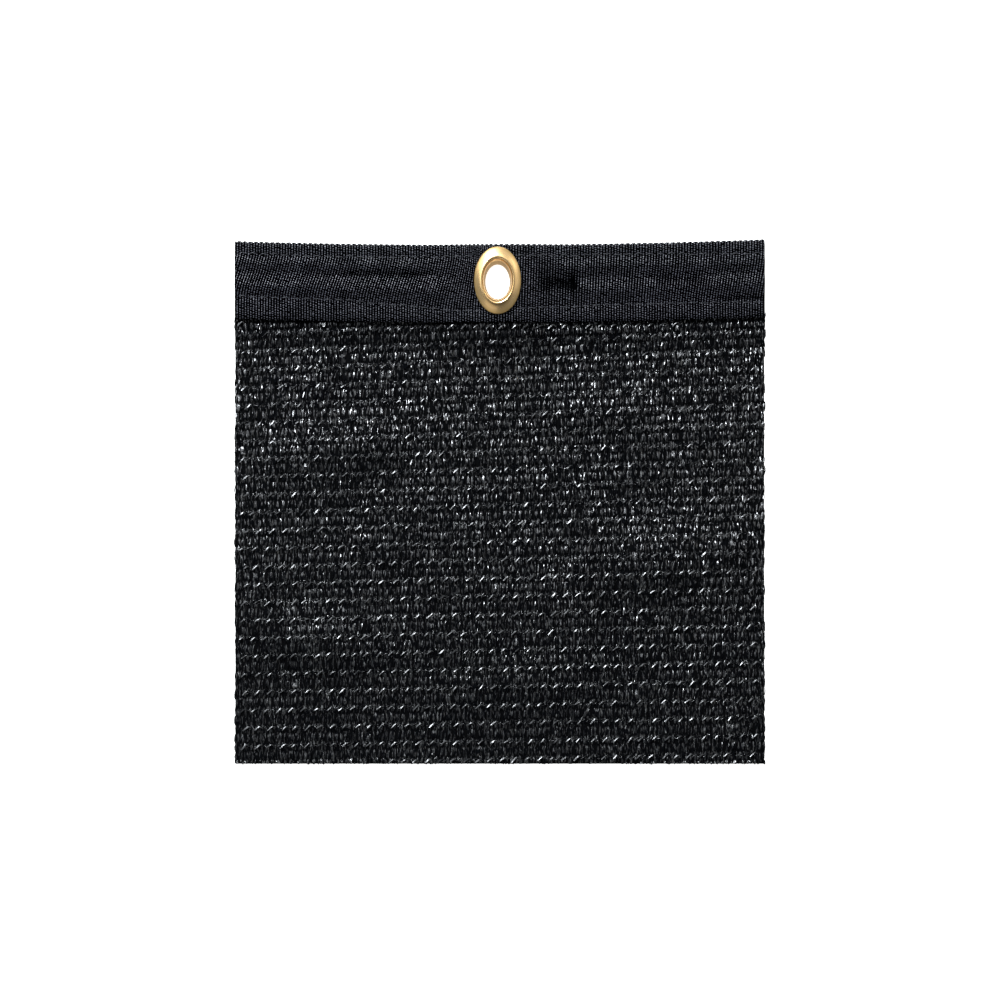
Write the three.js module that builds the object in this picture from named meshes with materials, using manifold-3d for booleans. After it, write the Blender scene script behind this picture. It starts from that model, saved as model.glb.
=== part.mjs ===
// A cut length of awning shade screen: knitted shade cloth, a ribbed webbing folded
// over its top edge as a binding, and one oval brass grommet pressed through both.
// The cloth lies face up on a flat surface. Units are millimetres, +X runs along the
// binding, +Y runs from the cut end up to the binding, +Z points out of the face.
// The origin is the middle of the rectangle that the piece covers, on the surface.

import * as THREE from 'three';
import Module from 'manifold-3d';
import { mergeVertices } from 'three/addons/utils/BufferGeometryUtils.js';

const wasm = await Module();
wasm.setup();

// Outline of the cut length
const SCREEN_WIDTH = 168;
const SCREEN_LENGTH = 167;
const HALF_WIDTH = SCREEN_WIDTH / 2;
const HALF_LENGTH = SCREEN_LENGTH / 2;
const EDGE_DIP = 1.4; // how far the bound edge sags between its two ends
const EDGE_LEAN = 0.28; // half of what its right end lies higher than its left
const FIT_GAP = 0.3; // clearance between pieces that touch

// Knitted cloth: chain stitches run along X as ridges, with thinner cloth between them
const CLOTH_THICKNESS = 1.0;
const CHAIN_PITCH = 5.77;
const CHAIN_HALF_WIDTH = 1.0;
const CHAIN_HEIGHT = 0.4;
const CHAIN_COUNT = 31;
const FIRST_CHAIN = -87.9; // level of the lowest chain at mid-width, below the cut
const CHAIN_RISE_AT_CUT = 3.2; // the chains climb to the right, more so near the binding
const CHAIN_RISE_AT_TOP = 7.6;

// Binding: a 50 mm webbing folded to half its width around the cloth's edge
const WEBBING_THICKNESS = 1.0;
const FACE_WIDTH = 25;
const BACK_WIDTH = 24.4;
const CLOTH_RAISE = WEBBING_THICKNESS + FIT_GAP;
const FACE_RAISE = CLOTH_RAISE + CLOTH_THICKNESS + FIT_GAP;
const BINDING_THICKNESS = FACE_RAISE + WEBBING_THICKNESS;
const FOLD_RADIUS = BINDING_THICKNESS / 2;
const CLOTH_INSET = FOLD_RADIUS + 0.4; // from the fold's crown down to the cloth's edge
const CLOTH_RAMP = 9; // how far below the binding the cloth comes back to the surface

// Grommet, turned as a round part and drawn in along X to an oval
const GROMMET_X = -0.7;
const GROMMET_BELOW_EDGE = 12;
const OVAL = 0.7;
const HOLE_RADIUS = 5.75;
const BARREL_RADIUS = 6.2;
const FLANGE_RADIUS = 10.65;
const FLANGE_HEIGHT = 1.7;
const CURL_RADIUS = 8.2;
const CURL_HEIGHT = 0.6;
const WASHER_RADIUS = 10.3;
const WASHER_THICKNESS = 0.6;
const PUNCH_RADIUS = 6.6;
const ROUND_STEPS = 32;

// Low swells of the cloth where it stands off the surface, each an oval mound
const SWELLS = [
  { x: -46, y: 18, alongX: 38, alongY: 14, height: 1.5, turn: 8 },
  { x: 40, y: 28, alongX: 30, alongY: 13, height: 1.2, turn: -6 },
  { x: 52, y: -18, alongX: 36, alongY: 15, height: 1.7, turn: 12 },
  { x: -56, y: -44, alongX: 32, alongY: 14, height: 1.3, turn: -10 },
  { x: 6, y: -58, alongX: 34, alongY: 13, height: 1.0, turn: 5 },
];

// Soft puffs of the binding's face between its two seams, with a crease between each
// pair. One runs along X from one end to the other, its crest at a distance below the
// top edge that goes from fromTop to toTop.
const PUFFS = [
  { fromX: -96, toX: -13, fromTop: 7.2, toTop: 7.4, halfWidth: 3.0, height: 0.6 },
  { fromX: -96, toX: -9, fromTop: 14.0, toTop: 15.4, halfWidth: 4.2, height: 0.9 },
  { fromX: 11, toX: 96, fromTop: 7.8, toTop: 7.4, halfWidth: 3.2, height: 0.6 },
  { fromX: 15, toX: 96, fromTop: 15.2, toTop: 14.2, halfWidth: 4.0, height: 0.8 },
];

// Lines of points across the webbing, as distances below the top edge
const FACE_LINES = [FACE_WIDTH, 22.2, 19.4, 17.2, 14.8, 12.4, 10.4, 8.8, 7.2, 5.2, 3.4];
const BACK_LINES = [6, 11.6, 17.6, BACK_WIDTH];
const FOLD_STEPS = 4;

// Columns of points along X, shared by all layers and closer together at the grommet
const COLUMNS = 18;
const COLUMN_SPREAD = 1.2;
function columnX(i) {
  const u = (2 * i) / COLUMNS - 1;
  return (HALF_WIDTH * (u + COLUMN_SPREAD * u ** 3)) / (1 + COLUMN_SPREAD);
}

function smooth(t) {
  const s = THREE.MathUtils.clamp(t, 0, 1);
  return s * s * (3 - 2 * s);
}

// The sagging line of the bound edge, and the distance of a point below it
const EDGE_MIDDLE = HALF_LENGTH - EDGE_DIP - EDGE_LEAN;
function topEdge(x) {
  const share = x / HALF_WIDTH;
  return EDGE_MIDDLE + EDGE_DIP * share * share + EDGE_LEAN * share;
}
const belowEdge = (x, y) => topEdge(x) - y;
const GROMMET_Y = topEdge(GROMMET_X) - GROMMET_BELOW_EDGE;

// Heights of the stack at the grommet, from the surface up
const STACK_LIFT = CURL_HEIGHT + FIT_GAP + WASHER_THICKNESS + FIT_GAP;
const FLANGE_SEAT = STACK_LIFT + BINDING_THICKNESS + FIT_GAP;

// 1 at the flange's rim and 2 at twice its size
function rimDistance(x, y) {
  const across = (x - GROMMET_X) / (FLANGE_RADIUS * OVAL);
  return Math.hypot(across, (y - GROMMET_Y) / FLANGE_RADIUS);
}

// How far the grommet holds the layers off the surface around it
const LIFT_FULL = 1.15;
const LIFT_ENDS = 3.0;
function lift(x, y) {
  return STACK_LIFT * smooth((LIFT_ENDS - rimDistance(x, y)) / (LIFT_ENDS - LIFT_FULL));
}

function swell(x, y) {
  let height = 0;
  for (const s of SWELLS) {
    const turn = THREE.MathUtils.degToRad(s.turn);
    const dx = x - s.x;
    const dy = y - s.y;
    const u = (dx * Math.cos(turn) + dy * Math.sin(turn)) / s.alongX;
    const v = (dy * Math.cos(turn) - dx * Math.sin(turn)) / s.alongY;
    height += s.height * smooth(1 - Math.hypot(u, v));
  }
  return height;
}

// The cloth's underside: flat or in low swells, and raised where the binding holds it
function clothUnderside(x, y) {
  const outside = belowEdge(x, y) - FACE_WIDTH - 1;
  return lift(x, y) + swell(x, y) + CLOTH_RAISE * smooth(1 - outside / CLOTH_RAMP);
}

// How far the binding's face stands off the cloth: held down at the seams and grommet
const PRESS_FULL = 1.15;
const PRESS_ENDS = 1.9;
function puff(x, y) {
  let height = 0;
  for (const p of PUFFS) {
    const along = (x - p.fromX) / (p.toX - p.fromX);
    const end = smooth(along * 5) * smooth((1 - along) * 5);
    const crest = THREE.MathUtils.lerp(p.fromTop, p.toTop, along);
    height += p.height * end * smooth(1 - Math.abs(belowEdge(x, y) - crest) / p.halfWidth);
  }
  return height * smooth((rimDistance(x, y) - PRESS_FULL) / (PRESS_ENDS - PRESS_FULL));
}

// A closed solid between two sheets of points. Seen from outside the second sheet,
// columns run to the right and rows run up.
function slab(columns, rows, firstSheet, secondSheet) {
  const positions = [];
  const index = [];
  const across = columns + 1;
  const layer = across * (rows + 1);
  for (const sheet of [firstSheet, secondSheet]) {
    for (let j = 0; j <= rows; j++) {
      for (let i = 0; i <= columns; i++) {
        positions.push(...sheet(i, j));
      }
    }
  }
  const quad = (a, b, c, d) => index.push(a, b, c, a, c, d);
  for (let j = 0; j < rows; j++) {
    for (let i = 0; i < columns; i++) {
      const a = j * across + i;
      quad(a, a + across, a + across + 1, a + 1);
      quad(layer + a, layer + a + 1, layer + a + across + 1, layer + a + across);
    }
  }
  for (let i = 0; i < columns; i++) {
    const far = rows * across + i;
    quad(i, i + 1, layer + i + 1, layer + i);
    quad(far + 1, far, layer + far, layer + far + 1);
  }
  for (let j = 0; j < rows; j++) {
    const left = j * across;
    const right = left + columns;
    quad(left + across, left, layer + left, layer + left + across);
    quad(right, right + across, layer + right + across, layer + right);
  }
  const geometry = new THREE.BufferGeometry();
  geometry.setAttribute('position', new THREE.Float32BufferAttribute(positions, 3));
  geometry.setIndex(index);
  return geometry;
}

function toSolid(geometry) {
  const bare = geometry.clone();
  bare.deleteAttribute('normal');
  bare.deleteAttribute('uv');
  const merged = mergeVertices(bare, 1e-4);
  return new wasm.Manifold(new wasm.Mesh({
    numProp: 3,
    vertProperties: new Float32Array(merged.attributes.position.array),
    triVerts: new Uint32Array(merged.index.array),
  }));
}

function toGeometry(solid) {
  const mesh = solid.getMesh();
  const points = [];
  for (let i = 0; i < mesh.vertProperties.length; i += mesh.numProp) {
    points.push(...mesh.vertProperties.slice(i, i + 3));
  }
  const geometry = new THREE.BufferGeometry();
  geometry.setAttribute('position', new THREE.Float32BufferAttribute(points, 3));
  geometry.setIndex([...mesh.triVerts]);
  geometry.computeVertexNormals();
  return geometry;
}

// An oval rod through all layers, to punch the hole that the barrel goes through
const PUNCH_LENGTH = 40;
function holePunch() {
  const rod = new THREE.CylinderGeometry(PUNCH_RADIUS, PUNCH_RADIUS, PUNCH_LENGTH, ROUND_STEPS);
  rod.rotateX(Math.PI / 2);
  rod.scale(OVAL, 1, 1);
  rod.translate(GROMMET_X, GROMMET_Y, 0);
  return toSolid(rod);
}

// A prism that trims the knit straight along the cut end and in a sagging line inside
// the fold. It stands a little past the cloth's sides, which are already straight.
const TRIM_HEIGHT = 20;
const TRIM_MARGIN = 2;
function trimPrism() {
  const outline = new THREE.Shape();
  const half = HALF_WIDTH + TRIM_MARGIN;
  outline.moveTo(-half, -HALF_LENGTH);
  outline.lineTo(half, -HALF_LENGTH);
  for (let i = COLUMNS; i >= 0; i--) {
    const x = ((2 * i) / COLUMNS - 1) * half;
    outline.lineTo(x, topEdge(x) - CLOTH_INSET);
  }
  const prism = new THREE.ExtrudeGeometry(outline, { depth: TRIM_HEIGHT, bevelEnabled: false });
  prism.translate(0, 0, -TRIM_HEIGHT / 2);
  return toSolid(prism);
}

// The knit has three lines of points to each chain. It is laid out longer than the
// cut length, trimmed to it, and punched for the grommet.
const CHAIN_LINES = [
  { offset: -CHAIN_HALF_WIDTH, ridge: 0 },
  { offset: 0, ridge: CHAIN_HEIGHT },
  { offset: CHAIN_HALF_WIDTH, ridge: 0 },
];
const RIDGE_FADE = 1.2; // the ridges end this far below the binding
function shadeCloth() {
  const place = (i, j) => {
    const x = columnX(i);
    const chain = FIRST_CHAIN + Math.floor(j / CHAIN_LINES.length) * CHAIN_PITCH;
    const level = chain + CHAIN_LINES[j % CHAIN_LINES.length].offset;
    const up = (level + HALF_LENGTH) / SCREEN_LENGTH;
    const rise = THREE.MathUtils.lerp(CHAIN_RISE_AT_CUT, CHAIN_RISE_AT_TOP, up);
    return [x, level + (rise * x) / SCREEN_WIDTH];
  };
  const back = (i, j) => {
    const [x, y] = place(i, j);
    return [x, y, clothUnderside(x, y)];
  };
  const face = (i, j) => {
    const [x, y] = place(i, j);
    const clear = smooth((belowEdge(x, y) - FACE_WIDTH) / RIDGE_FADE);
    const ridge = CHAIN_LINES[j % CHAIN_LINES.length].ridge * clear;
    return [x, y, clothUnderside(x, y) + CLOTH_THICKNESS + ridge];
  };
  const knit = slab(COLUMNS, CHAIN_COUNT * CHAIN_LINES.length - 1, back, face);
  return toGeometry(toSolid(knit).intersect(trimPrism()).subtract(holePunch()));
}

// The webbing's path runs up the face, over the fold and down the back
function bindingPath() {
  const path = FACE_LINES.map((below) => ({ part: 'face', below }));
  for (let step = 0; step <= FOLD_STEPS; step++) {
    path.push({ part: 'fold', angle: Math.PI * (0.5 - step / FOLD_STEPS) });
  }
  return [...path, ...BACK_LINES.map((below) => ({ part: 'back', below }))];
}

function edgeWebbing() {
  const path = bindingPath();
  const layerPoint = (i, j, depth) => {
    const x = columnX(i);
    const { part, below, angle } = path[j];
    if (part === 'fold') {
      const y = topEdge(x) - FOLD_RADIUS;
      const radius = FOLD_RADIUS - depth;
      const middle = lift(x, y) + FOLD_RADIUS;
      return [x, y + radius * Math.cos(angle), middle + radius * Math.sin(angle)];
    }
    const y = topEdge(x) - below;
    if (part === 'back') {
      return [x, y, lift(x, y) + depth];
    }
    return [x, y, lift(x, y) + BINDING_THICKNESS - depth + puff(x, y)];
  };
  const inner = (i, j) => layerPoint(i, j, WEBBING_THICKNESS);
  const outer = (i, j) => layerPoint(i, j, 0);
  const strip = slab(COLUMNS, path.length - 1, inner, outer);
  return toGeometry(toSolid(strip).subtract(holePunch()));
}

// Turns a closed profile of [radius, height] about Z and draws it in to the oval
function ovalTurning(profile) {
  const points = [...profile, profile[0]].map(([r, z]) => new THREE.Vector2(r, z));
  const turned = new THREE.LatheGeometry(points, ROUND_STEPS);
  turned.rotateX(Math.PI / 2);
  turned.scale(OVAL, 1, 1);
  return turned;
}

// Flange on the face, barrel through the cloth, and its end curled out over the washer
function grommet() {
  const seat = FLANGE_SEAT;
  const crest = seat + FLANGE_HEIGHT;
  return ovalTurning([
    [HOLE_RADIUS, 0.45],
    [HOLE_RADIUS + 0.15, 0.12],
    [BARREL_RADIUS + 0.2, 0],
    [CURL_RADIUS - 0.25, 0],
    [CURL_RADIUS, CURL_HEIGHT / 2],
    [CURL_RADIUS - 0.25, CURL_HEIGHT],
    [BARREL_RADIUS + 0.15, CURL_HEIGHT],
    [BARREL_RADIUS, CURL_HEIGHT + 0.2],
    [BARREL_RADIUS, seat],
    [FLANGE_RADIUS - 0.15, seat],
    [FLANGE_RADIUS, seat + 0.2],
    [FLANGE_RADIUS - 0.45, seat + 0.65],
    [FLANGE_RADIUS - 1.2, crest - 0.35],
    [FLANGE_RADIUS - 2.1, crest],
    [FLANGE_RADIUS - 3.1, crest],
    [HOLE_RADIUS + 1.1, crest - 0.3],
    [HOLE_RADIUS + 0.5, crest - 0.9],
    [HOLE_RADIUS + 0.1, crest - 1.7],
    [HOLE_RADIUS, crest - 2.6],
  ]);
}

// Dished ring under the layers: raised over the barrel's curl, flat where it rests
function grommetWasher() {
  const raised = CURL_HEIGHT + FIT_GAP;
  return ovalTurning([
    [PUNCH_RADIUS, raised],
    [CURL_RADIUS + 0.15, raised],
    [CURL_RADIUS + 0.6, 0],
    [WASHER_RADIUS - 0.15, 0],
    [WASHER_RADIUS, 0.2],
    [WASHER_RADIUS, WASHER_THICKNESS],
    [CURL_RADIUS + 1.2, raised + WASHER_THICKNESS],
    [PUNCH_RADIUS, raised + WASHER_THICKNESS],
  ]);
}

const knitFinish = new THREE.MeshStandardMaterial({ color: 0x16181b, roughness: 0.5 });
const webbingFinish = new THREE.MeshStandardMaterial({ color: 0x1b1c22, roughness: 0.7 });
const brassFinish = new THREE.MeshStandardMaterial({
  color: 0xd8b36a, roughness: 0.25, metalness: 1,
});

function piece(name, geometry, material) {
  const mesh = new THREE.Mesh(geometry, material);
  mesh.name = name;
  return mesh;
}

const hardware = new THREE.Group();
hardware.position.set(GROMMET_X, GROMMET_Y, 0);
hardware.add(piece('grommet', grommet(), brassFinish));
hardware.add(piece('grommet_washer', grommetWasher(), brassFinish));

const screen = new THREE.Group();
screen.add(piece('shade_cloth', shadeCloth(), knitFinish));
screen.add(piece('edge_webbing', edgeWebbing(), webbingFinish));
screen.add(hardware);

export default screen;
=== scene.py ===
"""A cut length of awning shade screen, lying face up under soft studio light.

Knitted black polyethylene shade cloth, its top edge bound in a folded ribbed webbing
that two seams hold, with one oval brass grommet. Sizes are in metres.
"""

import math

import bpy
import numpy as np
from bpy.props import FloatProperty, FloatVectorProperty, PointerProperty
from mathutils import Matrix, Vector


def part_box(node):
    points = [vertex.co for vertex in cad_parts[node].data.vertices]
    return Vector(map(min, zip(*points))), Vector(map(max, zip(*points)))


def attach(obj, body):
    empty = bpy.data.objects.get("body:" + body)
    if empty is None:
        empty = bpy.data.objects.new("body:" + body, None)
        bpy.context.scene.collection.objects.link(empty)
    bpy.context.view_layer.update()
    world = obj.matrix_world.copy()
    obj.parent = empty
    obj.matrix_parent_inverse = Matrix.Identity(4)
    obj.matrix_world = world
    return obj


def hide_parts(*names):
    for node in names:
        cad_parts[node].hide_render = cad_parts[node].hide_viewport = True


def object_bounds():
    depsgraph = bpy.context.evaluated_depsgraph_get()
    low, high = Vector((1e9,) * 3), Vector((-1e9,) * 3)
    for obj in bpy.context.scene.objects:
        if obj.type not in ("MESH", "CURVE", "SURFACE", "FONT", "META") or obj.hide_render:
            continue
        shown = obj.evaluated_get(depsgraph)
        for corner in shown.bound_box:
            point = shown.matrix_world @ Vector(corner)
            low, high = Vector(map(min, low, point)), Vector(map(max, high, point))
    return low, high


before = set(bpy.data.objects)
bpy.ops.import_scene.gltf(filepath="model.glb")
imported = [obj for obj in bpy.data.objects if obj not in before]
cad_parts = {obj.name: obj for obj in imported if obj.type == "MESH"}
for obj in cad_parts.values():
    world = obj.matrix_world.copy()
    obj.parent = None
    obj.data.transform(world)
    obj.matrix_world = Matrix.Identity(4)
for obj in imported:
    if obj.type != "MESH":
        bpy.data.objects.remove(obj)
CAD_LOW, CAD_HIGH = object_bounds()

bl_info = {
    "name": "Awning shade screen",
    "version": (1, 0, 0),
    "blender": (4, 5, 0),
    "location": "View3D > Sidebar > Shade screen",
    "description": "Builds a bound length of knitted shade cloth with a brass grommet",
    "category": "Object",
}

MM = 0.001
SEED = 41
GROMMET_LOW, GROMMET_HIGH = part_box("grommet")
WASHER_LOW, WASHER_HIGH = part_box("grommet_washer")


def linear(hex_colour):
    """An sRGB hex colour as linear red, green and blue."""
    parts = [int(hex_colour[i:i + 2], 16) / 255 for i in (0, 2, 4)]
    return [p / 12.92 if p <= 0.04045 else ((p + 0.055) / 1.055) ** 2.4 for p in parts]


def length(name, description, default):
    """A length that the user can change."""
    return FloatProperty(name=name, description=description, default=default, unit="LENGTH")


def colour(name, description, hex_colour):
    """A colour that the user can change, given as sRGB hex."""
    return FloatVectorProperty(
        name=name, description=description, default=linear(hex_colour),
        subtype="COLOR", size=3, min=0.0, max=1.0)


class ScreenSizes(bpy.types.PropertyGroup):
    """Sizes of the cloth, its binding and the grommet"""

    width: length("Width", "Length of screen along the bound edge", CAD_HIGH.x - CAD_LOW.x)
    drop: length("Drop", "From the cut end to the highest point of the bound edge",
                 CAD_HIGH.y - CAD_LOW.y)
    edge_dip: length("Edge dip", "How far the bound edge sags at mid-width", 1.4 * MM)
    edge_lean: length("Edge lean", "Half of what its right end lies higher", 0.28 * MM)
    chain_pitch: length("Chain pitch", "From one row of chain stitches to the next", 5.77 * MM)
    stitch_pitch: length("Stitch pitch", "Length of one chain stitch", 3.95 * MM)
    yarn: length("Yarn", "Diameter of the chain stitches' yarn", 0.46 * MM)
    tape_pitch: length("Tape pitch", "Distance between laid-in tapes", 0.85 * MM)
    face_width: length("Binding width", "Height of the binding on the face", 25 * MM)
    back_width: length("Binding back", "Height of the binding on the back", 24.4 * MM)
    webbing: length("Webbing thickness", "Thickness of one layer of webbing", 1.0 * MM)
    rib_pitch: length("Rib pitch", "Distance between the webbing's ribs", 0.86 * MM)
    rib_depth: length("Rib depth", "Height of a rib over its groove", 0.26 * MM)
    stitch: length("Seam stitch", "Length of one stitch of the seams", 3.4 * MM)
    thread: length("Seam thread", "Diameter of the seams' thread", 0.26 * MM)


class ScreenColours(bpy.types.PropertyGroup):
    """Colours of the finishes"""

    tape: colour("Tape", "Black polyethylene tape", "08090B")
    yarn: colour("Yarn", "Black polyethylene yarn", "0D0E10")
    webbing: colour("Webbing", "Bluish black polyester", "24252B")
    thread: colour("Thread", "Dark grey polyester thread", "2B2C31")
    brass: colour("Brass", "Pale polished brass", "EFCA92")
    floor: colour("Floor", "White acrylic", "F4F4F2")


# Low swells of the cloth where it stands off the floor, each an oval mound (mm, degrees)
SWELLS = [
    {"at": (-46, 18), "half": (38, 14), "height": 1.5, "turn": 8},
    {"at": (40, 28), "half": (30, 13), "height": 1.2, "turn": -6},
    {"at": (52, -18), "half": (36, 15), "height": 1.7, "turn": 12},
    {"at": (-56, -44), "half": (32, 14), "height": 1.3, "turn": -10},
    {"at": (6, -58), "half": (34, 13), "height": 1.0, "turn": 5},
]

# Soft puffs of the binding's face between its seams, each from one place along X to
# another, with its crest this far below the top edge at the two (mm)
PUFFS = [
    {"x": (-96, -13), "top": (7.2, 7.4), "half": 3.0, "by": 0.6},
    {"x": (-96, -9), "top": (14.0, 15.4), "half": 4.2, "by": 0.9},
    {"x": (11, 96), "top": (7.8, 7.4), "half": 3.2, "by": 0.6},
    {"x": (15, 96), "top": (15.2, 14.2), "half": 4.0, "by": 0.8},
]

# Creases pressed into the binding's face, given in the same way
CREASES = [
    {"x": (-66, -8), "top": (10.3, 9.6), "half": 1.1, "by": 0.45},
    {"x": (-84, -65), "top": (12.9, 12.5), "half": 1.0, "by": 0.3},
    {"x": (11, 27), "top": (12.4, 13.0), "half": 4.6, "by": 0.56},
    {"x": (44, 66), "top": (10.8, 12.6), "half": 1.2, "by": 0.35},
    {"x": (66, 86), "top": (18.4, 18.9), "half": 1.2, "by": 0.45},
]

# The upright tuck beside the grommet
TUCK = {"x": 23.4, "half": 1.3, "top": (7.0, 20.5), "by": 0.42}

# Each end of a puff, a crease or the tuck fades out over one part in so many of its length
PUFF_ENDS, CREASE_ENDS, TUCK_ENDS = 5, 4, 3

# The two seams: distance below the top edge at places along X (mm)
UPPER_SEAM = {"x": [-84, -52, 16, 40, 65, 84], "by": [4.6, 4.9, 4.3, 4.1, 4.7, 5.2]}
LOWER_SEAM = {
    "x": [-84, -52, -32, -12, 16, 40, 84],
    "by": [17.9, 18.3, 19.8, 21.6, 20.5, 19.8, 20.2],
}

# The ribs lean over between the seams: their tops stand this far to the right (mm)
RIB_LEAN = {"x": [-84, -20, 0, 20, 84], "by": [3.6, 3.8, 0.4, 0.6, 2.4]}

# The stack at the grommet, which holds the layers off the floor. They lie highest up to
# LIFT_FULL times the flange's size and come down by LIFT_ENDS. The face is pressed flat
# up to PRESS_FULL and puffs out freely past PRESS_ENDS.
STACK_LIFT = 1.8 * MM
LIFT_FULL, LIFT_ENDS = 1.15, 3.0
PRESS_FULL, PRESS_ENDS = 1.15, 1.9
PUNCH_SHARE = 0.66  # the punched hole in the layers, as a share of the flange
FIT_GAP = 0.3 * MM  # between layers that touch
CLOTH_THICKNESS = 1.0 * MM
CLOTH_RAMP = 9 * MM  # how far below the binding the cloth comes back to the floor
RAMP_TOP = 1 * MM  # this far below the binding it is up against the binding's back
CLOTH_INSET = 2.2 * MM  # from the top edge down to the cloth's edge inside the fold

GROMMET_X = (GROMMET_LOW.x + GROMMET_HIGH.x) / 2
GROMMET_Y = (GROMMET_LOW.y + GROMMET_HIGH.y) / 2
FLANGE_X = (GROMMET_HIGH.x - GROMMET_LOW.x) / 2
FLANGE_Y = (GROMMET_HIGH.y - GROMMET_LOW.y) / 2

# The rows of the knit climb to the right, more so near the binding
RISE_AT_CUT = 3.2 * MM
RISE_AT_TOP = 7.6 * MM
VALLEY_LEVEL = -6.25 * MM  # a valley with a chain below it, at mid-width
CHAIN_DROP = 0.75 * MM  # how far a chain lies below its valley
KNIT_UNDER = 1.6 * MM  # how far the threads run in under the binding
SPRUNG = 0.4 * MM  # how far the knit's cut sides spring out past the webbing's
GROUND_THICKNESS = 0.12 * MM
GROUND_HEIGHT = 0.42 * MM  # from the cloth's underside up to its bed of film
GROUND_CELL = 2 * MM

# How full the tapes stand: at the middle of the cloth, what the upper edge and the right
# side add, and the least and the most of it. The gathering under the binding comes on top.
FULL_MIDDLE, FULL_UP, FULL_RIGHT = 0.9, 0.34, 0.12
FULL_RANGE = (0.64, 1.2)
GATHERED = 0.55

# How the tapes lie, and how unevenly
TAPE_START, TAPE_TUCK = 0.1 * MM, 0.3 * MM  # from its valley, and past the next one
TAPE_SCATTER = 0.42  # sideways, as a share of their pitch
TAPE_WANDER = 0.14 * MM  # along the tape
TAPE_LEAN, LEAN_SPREAD = 0.08 * MM, 0.28 * MM  # its upper end stands this far right
TAPE_BOW = 0.16 * MM
TAPE_BASE = 0.1 * MM  # from the bed of film to a tape's ends
CREST_AT = (0.2, 0.4)  # the share of its length at which it stands highest
CREST_FALL = 0.8  # under 1, it falls off slowly at first
SHAKE_ACROSS, SHAKE_UP = 0.03 * MM, 0.02 * MM
TAPE_TWIST, TWIST_SPREAD, TWIST_SHAKE = 0.17, 0.42, 0.14  # rad about its own length
RAGGED_CUT = 0.3 * MM  # past the cut end or short of it
SHORTEST_TAPE = 0.5 * MM
WIDE_SHARE, WIDE_BY = 0.02, 2.4  # a few tapes lie spread flat
PINCH = 0.45  # width of a tape's ends, as a share of its middle's
PINCH_CURVE = 0.6  # under 1, it widens quickly from them
SIDE_REACH = 0.2 * MM  # the most that a tape's edge stands out at the cut sides
FLOOR_GAP = 0.01 * MM  # the least height of a tape over the floor

# The chain stitches, which stray a little along their row and off it
STRAY_ALONG, STRAY_UP = 0.2 * MM, 0.12 * MM

# Their bars, each a path from -1 to BAR_END that hooks over at BAR_TURN
BAR_REACH = 0.24  # of the path from 0 to 1 along X, as a share of the stitch
BAR_END, BAR_TURN = 1.4, 0.6
BAR_LENGTHS = (0.75, 1.15)  # times the reach
BAR_SLOPE, SLOPE_SPREAD = 0.85, 0.14  # Y over X
BAR_HOOKS = (1.2, 2.2)  # how steeply it hooks over, in slopes
BAR_TILT, TILT_SPREAD = 0.24 * MM, 0.09 * MM  # from 0 to 1 of the path it sinks by this
BAR_FACE = 0.24  # rad by which its flat side is turned to the light
BAR_HEIGHT = 0.4 * MM  # over the cloth's underside, before what the tapes add
BURIED_LOW, BURIED_HIGH = 0.64, 1.18  # how full the tapes are round the bars, low and high
BURIED_EDGE = 0.5  # and at the binding
BAR_SIZES = (0.7, 1.1)  # times the yarn
BAR_WIDE, BAR_FLAT = 1.3, 0.6  # its width and its height, times that
HUG = 1.2 * MM  # bars nearer than this to the binding are moved this far below it
CUT_CLEAR, TOP_CLEAR = 0.7 * MM, 0.8 * MM  # from the threads' ends to a bar's middle

# Their loops' legs
LEG_SWING = 0.5 * MM  # how far a leg swings to each side of its row
LEG_HEIGHT, LEG_WEAVE = 0.42 * MM, 0.16 * MM  # over the bed of film, and up and down
LEG_YARN = 0.52  # thickness of a leg, as a share of the yarn
LEG_RINGS = 5
LEG_BEND_X, LEG_BEND_Y = 0.12 * MM, 0.08 * MM  # how unevenly it bends
LEG_CLEAR = 0.3 * MM  # from the cut end
LEG_LOWEST = 0.12 * MM  # over the cloth's underside

# The webbing
RIB_COLUMNS = 5  # columns of points across one rib
RIB_WANDER, WANDER_STEP = 0.35, 0.02  # share of a random walk, and its steps in ribs
RIB_CURVE = 0.8  # under 1, a rib's top is flatter than a sine
ROWS_BETWEEN, FOLD_ROWS = 16, 8  # rows of points from seam to seam, and round the fold
DASH = 0.75 * MM  # from one dash of light on a rib to the next
# DEEP_CREASE sets how deep a crease must be for the full painted shade in the webbing's colour
DEEP_CREASE = 0.45 * MM  # the depth that counts as 1 in the webbing's material
TOOTH = 0.17 * MM  # half of what every other groove is deeper at the top edge
SPARE = 6 * MM  # ribs are laid out this far past the sides, for those that lean in

# The seams
SEAM_DEPTH, SEAM_REACH = 0.3 * MM, 0.6 * MM  # the groove that a seam pulls
SEAM_EVEN = 0.4  # share of the groove's depth that is there between stitches
SEAM_HALF = 0.55 * MM  # from a seam to the next row of points on each side
STITCH_HALF = 0.42  # half of a seam stitch, as a share of their pitch
STITCH_RINGS = 7
STITCH_SUNK = 0.5 * MM  # a stitch starts this deep in the webbing and arches out of it
BACK_HEIGHT, BACK_ARCH = 0.3 * MM, 0.12 * MM  # a stitch's ends on the back, and its arch
RIM_CLEAR = 1.03  # no stitch runs nearer to the grommet, times the flange's size
RIM_FREE = 0.15  # the grooves start at the rim and are full this far out, in flanges


def sizes():
    return bpy.context.scene.screen_sizes


def colours():
    return bpy.context.scene.screen_colours


def smooth(t):
    """0 up to t = 0, 1 from t = 1 on, and a soft step between."""
    s = np.clip(t, 0, 1)
    return s * s * (3 - 2 * s)


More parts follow.
